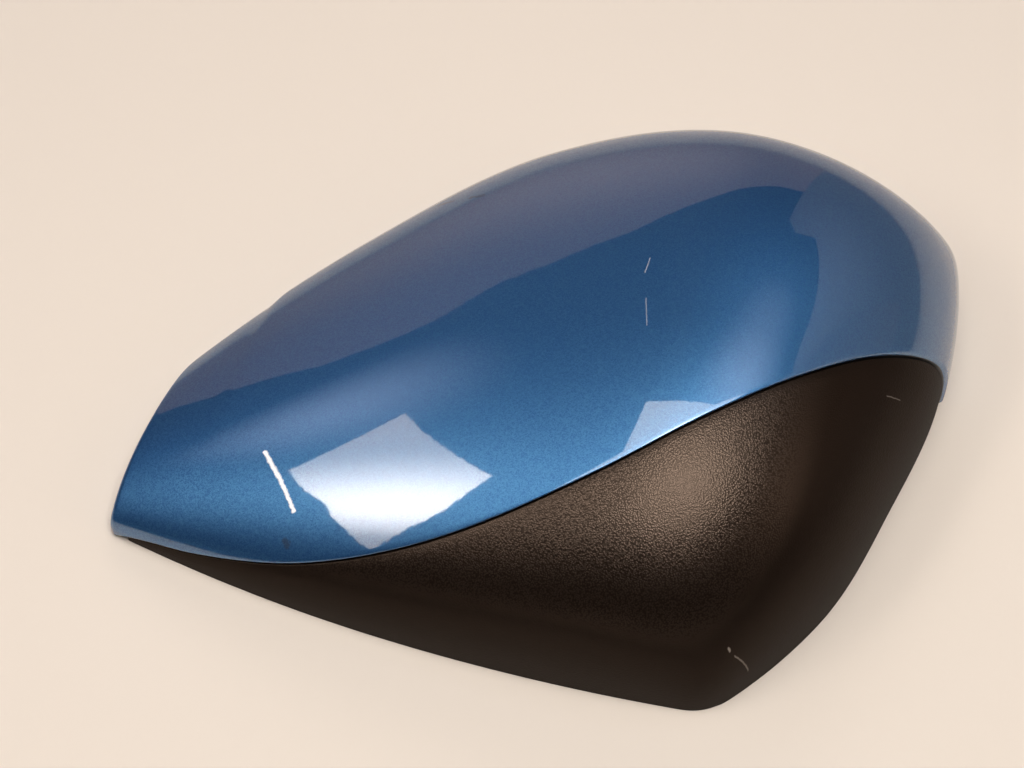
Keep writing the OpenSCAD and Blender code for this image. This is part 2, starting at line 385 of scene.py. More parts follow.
    def at(self, u: Array | float, v: Array | float, depth: Array | float) -> Array:
        """Place points on the skin or below it.

        Args:
            u: Shares along the loft.
            v: Shares up the section, from the lower rim over the crest to the upper rim.
            depth: Depths below the outside.

        Returns:
            Points in the frame's millimetres, along the last axis.
        """
        u, v, depth = np.broadcast_arrays(
            np.asarray(u, float), np.asarray(v, float), np.asarray(depth, float)
        )
        points = np.empty((u.size, 3))
        for value in np.unique(depth):
            of_depth = depth.ravel() == value
            points[of_depth] = self.flat(u.ravel()[of_depth], v.ravel()[of_depth], float(value))
        points[:, :2] -= self.middle
        return points.reshape(*u.shape, 3)

    def seam(self, u: Array) -> Array:
        """Follow the parting line.

        Args:
            u: Shares along the loft.

        Returns:
            Shares up the section.
        """
        return through(self.seam_along, self.seam_up, u)

    def speed(self, u: Array, v: Array) -> Array:
        """Measure millimetres up the section for a unit of share.

        Args:
            u: Shares along the loft.
            v: Shares up the section.

        Returns:
            Millimetres per share.
        """
        u, v = np.maximum(u, self.roll_share), np.clip(v, 0.01, 0.99)
        return np.linalg.norm(self.at(u, v + 0.01, 0) - self.at(u, v - 0.01, 0), axis=-1) / 0.02

    def stations(self, first: float = 0) -> Array:
        """Share out stations along the loft, close together where it turns.

        Args:
            first: Share at which to start.

        Returns:
            Shares along the loft, rising.
        """
        turn = np.linspace(0, math.pi / 2, 12)
        rolled = self.roll_share * (1 - np.cos(turn))
        plain = np.linspace(self.roll_share, self.crown_share, 150)[1:]
        turn = np.linspace(0, math.pi / 2, 90)[1:]
        c, s = np.cos(turn), np.sin(turn)
        ended = s * (np.maximum(c, 0) ** self.fall_power + s**self.fall_power) ** (-1 / self.fall_power)
        ended[-1] = 1
        every = np.concatenate([rolled, plain, self.crown_share + (1 - self.crown_share) * ended])
        if first == 0:
            return every
        return np.concatenate([[first], every[every > first + 0.002]])

    def height_over(self, place: Array, depth: float) -> float:
        """Find the height of the skin over a point of the rim's plane.

        Args:
            place: Point in the frame's millimetres.
            depth: Depth below the outside.

        Returns:
            Height of the nearest point of the skin.
        """
        u, v = np.meshgrid(np.linspace(0.02, 0.995, 180), np.linspace(0.02, 0.98, 120), indexing="ij")
        points = self.at(u, v, depth).reshape(-1, 3)
        near = np.argsort(np.sum((points[:, :2] - place) ** 2, axis=1))[:3]
        return float(points[near, 2].mean())


def add_object(
    name: str,
    points: Array,
    faces: Any,
    material: bpy.types.Material,
    back: tuple[bpy.types.Material, Array] | None = None,
) -> bpy.types.Object:
    """Make a smooth-shaded object.

    Args:
        name: Name of the object and its mesh.
        points: Points in metres, one a row.
        faces: Rows of point numbers, anticlockwise as seen from outside.
        material: Finish.
        back: Finish of the inside, and which faces have it.

    Returns:
        The object, linked to the scene.
    """
    sharp = 40
    mesh = bpy.data.meshes.new(name)
    mesh.from_pydata(points.tolist(), [], [list(map(int, f)) for f in faces])
    mesh.materials.append(material)
    if back is not None:
        mesh.materials.append(back[0])
        mesh.polygons.foreach_set("material_index", back[1].astype(np.int32))
    mesh.polygons.foreach_set("use_smooth", [True] * len(mesh.polygons))
    mesh.set_sharp_from_angle(angle=math.radians(sharp))
    mesh.update()
    piece = bpy.data.objects.new(name, mesh)
    bpy.context.scene.collection.objects.link(piece)
    return piece


def swept(outer: Array, inner: Array) -> tuple[Array, Array, Array]:
    """Close a wall swept along stations into one solid.

    Args:
        outer: Outer points, by station and step.
        inner: Inner points, paired with them.

    Returns:
        Points in metres, faces with four corners, and which faces are inside.
    """
    count, m = outer.shape[:2]
    n = 2 * m
    points = np.concatenate([outer, inner[:, ::-1]], axis=1).reshape(-1, 3) * METRES
    i, j = np.meshgrid(np.arange(count - 1), np.arange(n), indexing="ij")
    a, b = (i * n + j).ravel(), (i * n + (j + 1) % n).ravel()
    sides = np.column_stack([a, b, b + n, a + n])
    k = np.arange(m - 1)
    first = np.column_stack([k, n - 1 - k, n - 2 - k, k + 1])
    last = first[:, ::-1] + (count - 1) * n
    within = np.concatenate([(j >= m).ravel(), np.zeros(2 * (m - 1), bool)])
    return points, np.concatenate([sides, first, last])[:, ::-1], within


def turned(
    skin: Skin, centre: Array, profile: Sequence[tuple[float, float]], depth: float
) -> tuple[Array, Array]:
    """Turn a profile about an upright axis, with its last ring lifted to the skin.

    Args:
        skin: The surface that the turned part hangs from.
        centre: Place of the axis in the frame's millimetres.
        profile: Radii and heights, from the end of the bore round the mouth to the outside.
        depth: Depth in the skin at which the last ring ends.

    Returns:
        Points in metres, and faces.
    """
    count = 40
    turn = np.arange(count) * 2 * math.pi / count
    ways = np.column_stack([np.cos(turn), np.sin(turn)])
    rings = [np.column_stack([centre + r * ways, np.full(count, z)]) for r, z in profile]
    feet = [skin.height_over(point[:2], depth) for point in rings[-1]]
    rings[-1][:, 2] = np.minimum(feet, np.median(feet) + profile[-1][0])
    k = np.arange(count)
    faces = []
    for i in range(len(rings) - 1):
        a, b = i * count + k, i * count + (k + 1) % count
        faces.append(np.column_stack([a, a + count, b + count, b]))
    ends = [list(k), list((len(rings) - 1) * count + k[::-1])]
    outward = [face[::-1] for face in (*np.concatenate(faces).tolist(), *ends)]
    return np.concatenate(rings) * METRES, outward


def add_node(
    tree: bpy.types.NodeTree, kind: str, inputs: dict[Any, Any] | None = None, **settings: Any
) -> bpy.types.Node:
    """Add a node, set its properties, and set or link its inputs.

    Args:
        tree: Node tree.
        kind: Node type.
        inputs: Values or output sockets, by input name or number.
        **settings: Properties of the node.

    Returns:
        The node.
    """
    made = tree.nodes.new(kind)
    for key, value in settings.items():
        setattr(made, key, value)
    for key, value in (inputs or {}).items():
        socket = made.inputs[key]
        if isinstance(value, bpy.types.NodeSocket):
            tree.links.new(value, socket)
        else:
            socket.default_value = value
    return made


@dataclass(frozen=True)
class Mark:
    """A scratch, scuff or smudge, as a line on the surface seen from above.

    Attributes:
        start: First end, in the frame's millimetres along and up.
        end: Second end.
        width: Width in millimetres.
        strength: How far it covers what lies under it.
        wander: How far its edge wanders, in millimetres.
    """

    start: tuple[float, float]
    end: tuple[float, float]
    width: float
    strength: float
    wander: float = 0.3


def empty_material(name: str) -> tuple[bpy.types.Material, bpy.types.NodeTree, bpy.types.Node]:
    """Start a material with nothing but its output.

    Args:
        name: Material's name.

    Returns:
        The material, its tree and its output node.
    """
    material = bpy.data.materials.new(name)
    material.use_nodes = True
    tree = material.node_tree
    tree.nodes.clear()
    return material, tree, add_node(tree, "ShaderNodeOutputMaterial")


def cover_of(
    tree: bpy.types.NodeTree, place: bpy.types.NodeSocket, marks: Sequence[Mark]
) -> bpy.types.NodeSocket:
    """Add up the marks on a surface into one cover.

    Args:
        tree: Node tree.
        place: Object coordinates.
        marks: The marks.

    Returns:
        Output that runs from nought, clean, to one, covered.
    """
    lumps_per_metre = 900
    # Noise mostly stays within a quarter of its middle, so this brings it to about one
    gain = 4
    wave = add_node(
        tree, "ShaderNodeTexNoise", {"Vector": place, "Scale": lumps_per_metre, "Detail": 2}
    ).outputs["Color"]
    off = add_node(
        tree, "ShaderNodeVectorMath", {0: wave, 1: (0.5, 0.5, 0.5)}, operation="SUBTRACT"
    ).outputs[0]
    total: Any = 0.0
    for mark in marks:
        a, b = Vector((*mark.start, 0)) * METRES, Vector((*mark.end, 0)) * METRES
        length = max((b - a).length, METRES * 0.1)
        along = (b - a) / length if (b - a).length > 0 else Vector((1, 0, 0))
        shift = add_node(
            tree, "ShaderNodeVectorMath", {0: off, "Scale": mark.wander * METRES * gain}, operation="SCALE"
        )
        moved = add_node(
            tree, "ShaderNodeVectorMath", {0: place, 1: shift.outputs[0]}, operation="ADD"
        ).outputs[0]
        plan = add_node(
            tree, "ShaderNodeVectorMath", {0: moved, 1: (1, 1, 0)}, operation="MULTIPLY"
        ).outputs[0]
        arm = add_node(tree, "ShaderNodeVectorMath", {0: plan, 1: a}, operation="SUBTRACT").outputs[0]
        run = add_node(
            tree, "ShaderNodeVectorMath", {0: arm, 1: along}, operation="DOT_PRODUCT"
        ).outputs["Value"]
        held = add_node(tree, "ShaderNodeClamp", {"Value": run, "Min": 0.0, "Max": length}).outputs[0]
        foot = add_node(
            tree, "ShaderNodeVectorMath", {0: along, "Scale": held}, operation="SCALE"
        ).outputs[0]
        gap = add_node(
            tree, "ShaderNodeVectorMath", {0: arm, 1: foot}, operation="DISTANCE"
        ).outputs["Value"]
        half = mark.width * METRES / 2
        inside = add_node(
            tree,
            "ShaderNodeMapRange",
            {
                "Value": gap,
                "From Min": half * 0.6,
                "From Max": half * 1.4,
                "To Min": mark.strength,
                "To Max": 0.0,
            },
        ).outputs[0]
        total = add_node(tree, "ShaderNodeMath", {0: inside, 1: total}, operation="MAXIMUM").outputs[0]
    return total


@dataclass(frozen=True)
class MetallicPaint:
    """Blue basecoat full of metal flake, under a glossy clear coat.

    Attributes:
        deep: Colour of the basecoat seen square on.
        bright: Colour of the flakes that catch the light.
        flake: Size of a flake in millimetres, coarser than real ones so that it shows.
        tilt: How far a flake may tip, as a share of the upright.
        ripple: Width of a ripple in the clear coat, in millimetres.
        ripple_depth: Its depth in millimetres.
        edge_tint: Tint of the flakes from a low angle, where the clear coat lets little light in.
        marks: Scratches in the clear coat.
        smudges: Dark rubbed marks on the clear coat.
    """

    deep: str = "#053576"
    bright: str = "#5B95C0"
    flake: float = 0.27
    tilt: float = 0.07
    ripple: float = 2.6
    ripple_depth: float = 0.004
    edge_tint: str = "#6A6A70"
    marks: tuple[Mark, ...] = (
        Mark((-79.3, -3.1), (-76.2, -12.4), 1.1, 1.0, 0.2),
        Mark((-76.2, -12.4), (-73.9, -21.3), 1.0, 1.0, 0.24),
        Mark((29.3, 22.7), (27.1, 18.6), 0.28, 0.24, 0.1),
        Mark((25.7, 10.3), (24.2, 1.9), 0.28, 0.2, 0.1),
    )
    smudges: tuple[Mark, ...] = (
        Mark((-77.4, -27.6), (-76.8, -28.8), 1.5, 0.5, 0.45),
        Mark((-21.3, 65.5), (-17.6, 64.6), 1.1, 0.4, 0.35),
        Mark((-12.8, 63.0), (-9.2, 62.1), 1.1, 0.45, 0.35),
    )

    def material(self) -> bpy.types.Material:
        """Build the paint.

        Returns:
            The material.
        """
        material, tree, out = empty_material("metallic_blue_paint")
        place = add_node(tree, "ShaderNodeTexCoord").outputs["Object"]
        # Flakes lie at slightly different angles, so the paint glitters in small points
        cells = add_node(
            tree, "ShaderNodeTexVoronoi", {"Vector": place, "Scale": 1 / (self.flake * METRES)}, feature="F1"
        ).outputs["Color"]
        sparkle = add_node(tree, "ShaderNodeSeparateColor", {"Color": cells}).outputs[0]
        share = add_node(
            tree, "ShaderNodeMapRange", {"Value": sparkle, "To Min": 0.36, "To Max": 0.64}
        ).outputs[0]
        tilt = add_node(
            tree, "ShaderNodeVectorMath", {0: cells, 1: (0.5, 0.5, 0.5)}, operation="SUBTRACT"
        ).outputs[0]
        tilt = add_node(
            tree, "ShaderNodeVectorMath", {0: tilt, "Scale": self.tilt}, operation="SCALE"
        ).outputs[0]
        normal = add_node(tree, "ShaderNodeNewGeometry").outputs["Normal"]
        tipped = add_node(tree, "ShaderNodeVectorMath", {0: normal, 1: tilt}, operation="ADD").outputs[0]
        tipped = add_node(tree, "ShaderNodeVectorMath", {0: tipped}, operation="NORMALIZE").outputs[0]
        # Clear coat flows out into a faint ripple, which wavers the edges of what it mirrors
        ripple = add_node(
            tree, "ShaderNodeTexNoise", {"Vector": place, "Scale": 1 / (self.ripple * METRES), "Detail": 1}
        )
        coat = add_node(
            tree,
            "ShaderNodeBump",
            {"Height": ripple.outputs[0], "Distance": self.ripple_depth * METRES, "Strength": 1.0},
        ).outputs[0]
        # Pigment gives the deep blue away from the lights, flakes the paler blue round them
        layers = []
        for colour, metallic, rough in ((self.deep, 0.6, 0.6), (self.bright, 1.0, 0.42)):
            values = {
                "Base Color": linear(colour),
                "Metallic": metallic,
                "Roughness": rough,
                "Specular Tint": linear(self.edge_tint),
                "Normal": tipped,
                "Coat Weight": 1.0,
                "Coat Roughness": 0.03,
                "Coat IOR": 1.8,
                "Coat Normal": coat,
            }
            layers.append(add_node(tree, "ShaderNodeBsdfPrincipled", values).outputs[0])
        paint = add_node(tree, "ShaderNodeMixShader", {0: share, 1: layers[0], 2: layers[1]})
        # Smudges are dull and dark, so they show against the mirrored room
        dirt = add_node(tree, "ShaderNodeBsdfPrincipled", {"Base Color": linear("#1A222C"), "Roughness": 0.6})
        rubbed = cover_of(tree, place, self.smudges)
        paint = add_node(tree, "ShaderNodeMixShader", {0: rubbed, 1: paint.outputs[0], 2: dirt.outputs[0]})
        # Bare scratches scatter white where the clear coat is broken
        scratch = add_node(
            tree, "ShaderNodeBsdfPrincipled", {"Base Color": linear("#F4F6F8"), "Roughness": 0.7}
        )
        cover = cover_of(tree, place, self.marks)
        surface = add_node(
            tree, "ShaderNodeMixShader", {0: cover, 1: paint.outputs[0], 2: scratch.outputs[0]}
        )
        tree.links.new(surface.outputs[0], out.inputs[0])
        return material


@dataclass(frozen=True)
class GrainedPlastic:
    """Black moulded plastic with a leather-like grain from the mould.

    Attributes:
        colour: Colour of the plastic.
        grain: Size of a grain in millimetres.
        depth: Depth of the valleys between grains in millimetres.
        stray: How far grains stray from an even pattern, in millimetres.
        stray_width: Width over which they stray together, in millimetres.
        marks: Pale scuffs.
    """

    colour: str = "#100A07"
    grain: float = 0.47
    depth: float = 0.044
    stray: float = 0.18
    stray_width: float = 1.6
    marks: tuple[Mark, ...] = (
        Mark((32.8, -78.9), (36.8, -79.9), 0.28, 0.4, 0.06),
        Mark((31.2, -77.8), (31.4, -78.0), 0.6, 0.6, 0.1),
        Mark((85.4, -20.5), (89.6, -20.3), 0.25, 0.3, 0.06),
    )

    def material(self) -> bpy.types.Material:
        """Build the plastic.

        Returns:
            The material.
        """
        material, tree, out = empty_material("grained_black_plastic")
        place = add_node(tree, "ShaderNodeTexCoord").outputs["Object"]
        # Pebbled grain, about two to the millimetre, breaks the sheen into small lights
        wave = add_node(
            tree,
            "ShaderNodeTexNoise",
            {"Vector": place, "Scale": 1 / (self.stray_width * METRES), "Detail": 1},
        )
        bent = add_node(
            tree,
            "ShaderNodeVectorMath",
            {0: wave.outputs["Color"], "Scale": self.stray * METRES},
            operation="SCALE",
        ).outputs[0]
        moved = add_node(tree, "ShaderNodeVectorMath", {0: place, 1: bent}, operation="ADD").outputs[0]
        cells = add_node(
            tree, "ShaderNodeTexVoronoi", {"Vector": moved, "Scale": 1 / (self.grain * METRES)}, feature="F1"
        ).outputs["Distance"]
        pebble = add_node(
            tree,
            "ShaderNodeMapRange",
            {"Value": cells, "From Min": 0.15, "From Max": 0.7, "To Min": 1, "To Max": 0},
        ).outputs[0]
        grain = add_node(
            tree, "ShaderNodeBump", {"Height": pebble, "Distance": self.depth * METRES, "Strength": 1.0}
        ).outputs[0]
        # Valleys stay dull, partly the plastic's own dullness and partly painted shade in the pits, and from
        # a low angle the pebbles hide each other's shine
        valley_dull_and_shade = add_node(
            tree, "ShaderNodeMapRange", {"Value": pebble, "To Min": 0.6, "To Max": 0.05}
        ).outputs[0]
        facing = add_node(tree, "ShaderNodeLayerWeight", {"Blend": 0.5}).outputs["Facing"]
        low = add_node(
            tree,
            "ShaderNodeMapRange",
            {"Value": facing, "From Min": 0.05, "From Max": 0.22, "To Max": 0.78},
            interpolation_type="SMOOTHSTEP",
        ).outputs[0]
        dull = add_node(tree, "ShaderNodeMath", {0: valley_dull_and_shade, 1: low}, operation="MAXIMUM").outputs[0]
        sides = []
        for gloss, rough in ((0.95, 0.32), (0.0, 0.7)):
            values = {
                "Base Color": linear(self.colour),
                "Roughness": rough,
                "Specular IOR Level": gloss,
                "Specular Tint": linear("#FFE0C8"),
                "Normal": grain,
            }
            sides.append(add_node(tree, "ShaderNodeBsdfPrincipled", values).outputs[0])
        # Mixing towards the matt side darkens the valleys as painted shade
        plastic = add_node(tree, "ShaderNodeMixShader", {0: dull, 1: sides[0], 2: sides[1]})
        # Scuffs lift the grain's tops to a dry grey
        scuff = add_node(
            tree, "ShaderNodeBsdfPrincipled", {"Base Color": linear("#A79C90"), "Roughness": 0.8}
        )
        cover = cover_of(tree, place, self.marks)
        surface = add_node(
            tree, "ShaderNodeMixShader", {0: cover, 1: plastic.outputs[0], 2: scuff.outputs[0]}
        )
        tree.links.new(surface.outputs[0], out.inputs[0])
        return material


@dataclass(frozen=True)
class RawPlastic:
    """Unpainted plastic of the inside, satin from a plain mould.

    Attributes:
        colour: Colour of the plastic.
    """

    colour: str = "#1B1B1C"

    def material(self) -> bpy.types.Material:
        """Build the plastic.

        Returns:
            The material.
        """
        material, tree, out = empty_material("raw_black_plastic")
        # Even satin sheen tells the bare inside from the painted and the grained outside
        plastic = add_node(
            tree, "ShaderNodeBsdfPrincipled", {"Base Color": linear(self.colour), "Roughness": 0.5}
        )
        tree.links.new(plastic.outputs[0], out.inputs[0])
        return material


@dataclass(frozen=True)
class PlainSurface:
    """A matt surface of the studio.

    Attributes:
        name: Material's name.
        colour: Its colour.
    """

    name: str
    colour: str

    def material(self) -> bpy.types.Material:
        """Build the surface.

        Returns:
            The material.
        """
        material, tree, out = empty_material(self.name)
        paper = add_node(
            tree, "ShaderNodeBsdfPrincipled", {"Base Color": linear(self.colour), "Roughness": 0.9}
        )
        tree.links.new(paper.outputs[0], out.inputs[0])
        return material


@dataclass(frozen=True)
class PaintedShell:
    """The shell in body colour, with its seam edge rolled over and its rim eased.

    Attributes:
        skin: The surface it is cut from.
        wall: Wall thickness.
        gap: Gap at the parting line.
        edge: Radius of the edge at the seam.
        ease: How far the rim's edge is eased.
        steps: Points up the section.
    """

    skin: Skin
    wall: float = 2.5
    gap: float = 0.6
    edge: float = 0.7
    ease: float = 0.3
    steps: int = 120

    def build(self, material: bpy.types.Material, raw: bpy.types.Material) -> bpy.types.Object:
        """Build the shell.

        Args:
            material: Finish of its outside.
            raw: Finish of its inside.

        Returns:
            The piece.
        """
        skin, us = self.skin, self.skin.stations()
        speed = skin.speed(us, skin.seam(us))
        start = skin.seam(us) + self.gap / 2 / speed
        turn = np.linspace(0, math.pi / 2, 6)
        round_v = start[:, None] + (1 - np.cos(turn)) * self.edge / speed[:, None]
        round_d = np.broadcast_to(self.edge * (1 - np.sin(turn)), round_v.shape)
        rim = 1 - np.minimum(self.ease / skin.speed(us, np.ones_like(us)), 0.01)
        lip = round_v[:, -1:]
        plain_v = lip + (rim[:, None] - lip) * np.linspace(0, 1, self.steps)[None, 1:]
        v = np.concatenate([round_v, plain_v, np.ones((len(us), 1))], axis=1)
        d = np.concatenate([round_d, np.zeros_like(plain_v), np.full((len(us), 1), self.ease)], axis=1)
        u = np.broadcast_to(us[:, None], v.shape)
        points, faces, within = swept(skin.at(u, v, d), skin.at(u, v, self.wall))
        return add_object("painted_shell", points, faces, material, (raw, within))


@dataclass(frozen=True)
class LowerShell:
    """The grained shell, with the flange that runs under the painted edge.

    Attributes:
        skin: The surface it is cut from.
        proud: How far the painted shell stands proud of it.
        wall: Wall thickness.
        gap: Gap at the parting line.
        edge: Radius of the edge at the seam.
        ease: How far the rim's edge is eased.
        flange_top: Depth of the flange's upper face below the outside.
        flange_wall: Thickness of the flange.
        flange_width: How far the flange runs on.
        joggle: Width of the ramp to the flange.
        first: Share of the loft at which the shell starts.
        steps: Points up the section.
    """

    skin: Skin
    proud: float = 0.8
    wall: float = 2.5
    gap: float = 0.6
    edge: float = 0.4
    ease: float = 0.3
    flange_top: float = 2.9
    flange_wall: float = 1.6
    flange_width: float = 5
    joggle: float = 4
    first: float = 0.03
    steps: int = 70

    def build(self, material: bpy.types.Material, raw: bpy.types.Material) -> bpy.types.Object:
        """Build the shell.

        Args:
            material: Finish of its outside.
            raw: Finish of its inside.

        Returns:
            The piece.
        """
        skin, us = self.skin, self.skin.stations(self.first)
        count = len(us)
        speed = skin.speed(us, skin.seam(us))
        edge = skin.seam(us) - self.gap / 2 / speed
        tip = edge + self.flange_width / speed
        root = np.maximum(edge - self.joggle / speed, edge / 2)
        under = np.maximum(edge - self.flange_wall / speed, (root + edge) / 2)
        rise = np.minimum(self.ease / skin.speed(us, np.zeros_like(us)), root / 4)
        plain_v = rise[:, None] + (root - rise)[:, None] * np.linspace(0, 1, self.steps)
        turn = np.linspace(0, math.pi / 2, 5)
        arc = np.minimum(self.edge / speed, (edge - root) / 2)
        round_v = (edge - arc)[:, None] + arc[:, None] * np.sin(turn)
        round_d = np.broadcast_to(self.proud + self.edge * (1 - np.cos(turn)), round_v.shape)
        column = np.ones((count, 1))
        v = np.concatenate([0 * column, plain_v, round_v, edge[:, None], tip[:, None]], axis=1)
        d = np.concatenate(
            [
                (self.proud + self.ease) * column,
                np.full_like(plain_v, self.proud),
                round_d,
                self.flange_top * column,
                self.flange_top * column,
            ],
            axis=1,
        )
        inside, below = self.proud + self.wall, self.flange_top + self.flange_wall
        ramp = np.linspace(0, 1, round_v.shape[1] + 1)[1:]
        ramp_v = root[:, None] + (under - root)[:, None] * ramp
        ramp_d = np.broadcast_to(inside + (below - inside) * ramp, ramp_v.shape)
        inner_v = np.concatenate([0 * column, plain_v, ramp_v, edge[:, None], tip[:, None]], axis=1)
        inner_d = np.concatenate(
            [inside * column, np.full_like(plain_v, inside), ramp_d, below * column, below * column], axis=1
        )
        u = np.broadcast_to(us[:, None], v.shape)
        points, faces, within = swept(skin.at(u, v, d), skin.at(u, inner_v, inner_d))
        return add_object("grained_shell", points, faces, material, (raw, within))


@dataclass(frozen=True)
class ScrewPost:
    """A post for a thread-forming screw.

    Attributes:
        skin: The surface it hangs from.
        name: Piece's name.
        place: Its axis, in the frame's millimetres.
        radius: Outer radius.
        bore: Radius of the pilot bore.
        deep: Depth of the bore.
        mouth: Height of its mouth above the rim.
        foot: Depth in the skin at which it ends.
    """

    skin: Skin
    name: str
    place: tuple[float, float]
    radius: float = 3.6
    bore: float = 1.5
    deep: float = 11
    mouth: float = 6
    foot: float = 1.2

    def build(self, material: bpy.types.Material) -> bpy.types.Object:
        """Build the post.

        Args:
            material: Its finish.

        Returns:
            The piece.
        """
        ease = 0.3
        profile = (
            (self.bore, self.mouth + self.deep),
            (self.bore, self.mouth + ease),
            (self.bore + ease, self.mouth),
            (self.radius - ease, self.mouth),
            (self.radius, self.mouth + ease),
            (self.radius, self.mouth + self.deep),
        )
        points, faces = turned(self.skin, np.array(self.place), profile, self.foot)
        return add_object(self.name, points, faces, material)


@dataclass(frozen=True)
class LocatingPeg:
    """A peg that steps down from a shoulder.

    Attributes:
        skin: The surface it hangs from.
        place: Its axis, in the frame's millimetres.
        radius: Radius of the peg.
        length: Length of the peg below its shoulder.
        shoulder: Radius of the shoulder.
        mouth: Height of the peg's tip above the rim.
        foot: Depth in the skin at which it ends.
    """

    skin: Skin
    place: tuple[float, float]
    radius: float = 2
    length: float = 6
    shoulder: float = 3.6
    mouth: float = 6
    foot: float = 1.2

    def build(self, material: bpy.types.Material) -> bpy.types.Object:
        """Build the peg.

        Args:
            material: Its finish.

        Returns:
            The piece.
        """
        ease = 0.4
        step = self.mouth + self.length
        profile = (
            (self.radius - ease, self.mouth),
            (self.radius, self.mouth + ease),
            (self.radius, step),
            (self.shoulder, step),
            (self.shoulder, step + self.length),
        )
        points, faces = turned(self.skin, np.array(self.place), profile, self.foot)
        return add_object("locating_peg", points, faces, material)


def start_tree(
    name: str, sizes: dict[str, float]
) -> tuple[bpy.types.NodeTree, dict[str, bpy.types.NodeSocket]]:
    """Start a Geometry Nodes tree with a mesh, named sizes and a material as its inputs.

    Args:
        name: Tree's name.
        sizes: Default values of its sizes, by name.

    Returns:
        The tree, and its inputs' sockets by name.
    """
    tree = bpy.data.node_groups.new(name, "GeometryNodeTree")
    tree.interface.new_socket("Geometry", in_out="OUTPUT", socket_type="NodeSocketGeometry")
    tree.interface.new_socket("Geometry", in_out="INPUT", socket_type="NodeSocketGeometry")
    for size, value in sizes.items():
        tree.interface.new_socket(
            size, in_out="INPUT", socket_type="NodeSocketFloat"
        ).default_value = value
    tree.interface.new_socket("Material", in_out="INPUT", socket_type="NodeSocketMaterial")
    entry = add_node(tree, "NodeGroupInput")
    return tree, {socket.name: socket for socket in entry.outputs if socket.name}


def end_tree(
    tree: bpy.types.NodeTree, shape: bpy.types.NodeSocket, material: bpy.types.NodeSocket
) -> None:
    """End a tree in real geometry with its material.

    Args:
        tree: The tree.
        shape: What it made.
        material: The material input.
    """
    real = add_node(tree, "GeometryNodeRealizeInstances", {0: shape}).outputs[0]
    finished = add_node(
        tree, "GeometryNodeSetMaterial", {"Geometry": real, "Material": material}
    ).outputs[0]
    add_node(tree, "NodeGroupOutput", {0: finished})


def grow(
    name: str,
    points: Array,
    edges: Array,
    facts: dict[str, Array],
    tree: bpy.types.NodeTree,
    values: dict[str, Any],
) -> bpy.types.Object:
    """Run a tree on a few points and keep what it makes as a plain mesh.

    Args:
        name: Piece's name.
        points: Points in metres.
        edges: Edges between them.
        facts: Vectors stored on the points, by name.
        tree: The Geometry Nodes tree.
        values: Values of its inputs, by name.

    Returns:
        The piece.
    """
    mesh = bpy.data.meshes.new(name + "_points")
    mesh.from_pydata(points.tolist(), edges.tolist(), [])
    for fact, rows in facts.items():
        mesh.attributes.new(fact, "FLOAT_VECTOR", "POINT").data.foreach_set("vector", rows.ravel())
    piece = bpy.data.objects.new(name, mesh)
    modifier = piece.modifiers.new(name, "NODES")
    modifier.node_group = tree
    for item in tree.interface.items_tree:
        if item.in_out == "INPUT" and item.name in values:
            modifier[item.identifier] = values[item.name]
    bpy.context.scene.collection.objects.link(piece)
    shaped = piece.evaluated_get(bpy.context.evaluated_depsgraph_get())
    made = bpy.data.meshes.new_from_object(shaped)
    made.name = name
    piece.modifiers.remove(modifier)
    piece.data = made
    return piece


@dataclass(frozen=True)
class Ribs:
    """Stiffening ribs that cross the inside of a shell.

    Attributes:
        skin: The surface they follow.
        name: Piece's name.
        places: Places along the loft, each with the shares of the section it runs between.
        inside: Depth of the shell's inside below the outside.
        thick: Thickness of a rib.
        tall: Height above the inside.
    """

    skin: Skin
    name: str
    places: tuple[tuple[float, float, float], ...]
    inside: float
    thick: float = 1.4
    tall: float = 4

    def tree(self) -> bpy.types.NodeTree:
        """Build the tree that sweeps a rib's section along its path.

        Returns:
            The tree.
        """
        tree, given = start_tree("ribs", {"Thickness": 0.0014, "Height": 0.005})
        path = add_node(tree, "GeometryNodeMeshToCurve", {"Mesh": given["Geometry"]}).outputs[0]
        upright = add_node(
            tree, "GeometryNodeInputNamedAttribute", {"Name": "upright"}, data_type="FLOAT_VECTOR"
        )
        path = add_node(tree, "GeometryNodeSetCurveNormal", {"Curve": path}, mode="FREE")
        tree.links.new(upright.outputs[0], path.inputs["Normal"])
        section = add_node(
            tree,
            "GeometryNodeCurvePrimitiveQuadrilateral",
            {"Width": given["Height"], "Height": given["Thickness"]},
            mode="RECTANGLE",
        ).outputs[0]
        solid = add_node(
            tree,
            "GeometryNodeCurveToMesh",
            {"Curve": path.outputs[0], "Profile Curve": section, "Fill Caps": True},
        ).outputs[0]
        end_tree(tree, solid, given["Material"])
        return tree

    def build(self, material: bpy.types.Material) -> bpy.types.Object:
        """Build the ribs.

        Args:
            material: Their finish.

        Returns:
            The piece.
        """
        steps = 24
        sunk = self.thick / 2
        points, uprights, edges = [], [], []
        for i, (u, low, high) in enumerate(self.places):
            v = np.linspace(low, high, steps)
            top, foot = self.skin.at(u, v, self.inside - sunk), self.skin.at(u, v, self.inside + self.tall)
            points.append((top + foot) / 2 * METRES)
            uprights.append((top - foot) / np.linalg.norm(top - foot, axis=1, keepdims=True))
            k = i * steps + np.arange(steps - 1)
            edges.append(np.column_stack([k, k + 1]))
        values = {
            "Thickness": self.thick * METRES,
            "Height": (self.tall + sunk) * METRES,
            "Material": material,
        }
        facts = {"upright": np.concatenate(uprights)}
        return grow(self.name, np.concatenate(points), np.concatenate(edges), facts, self.tree(), values)


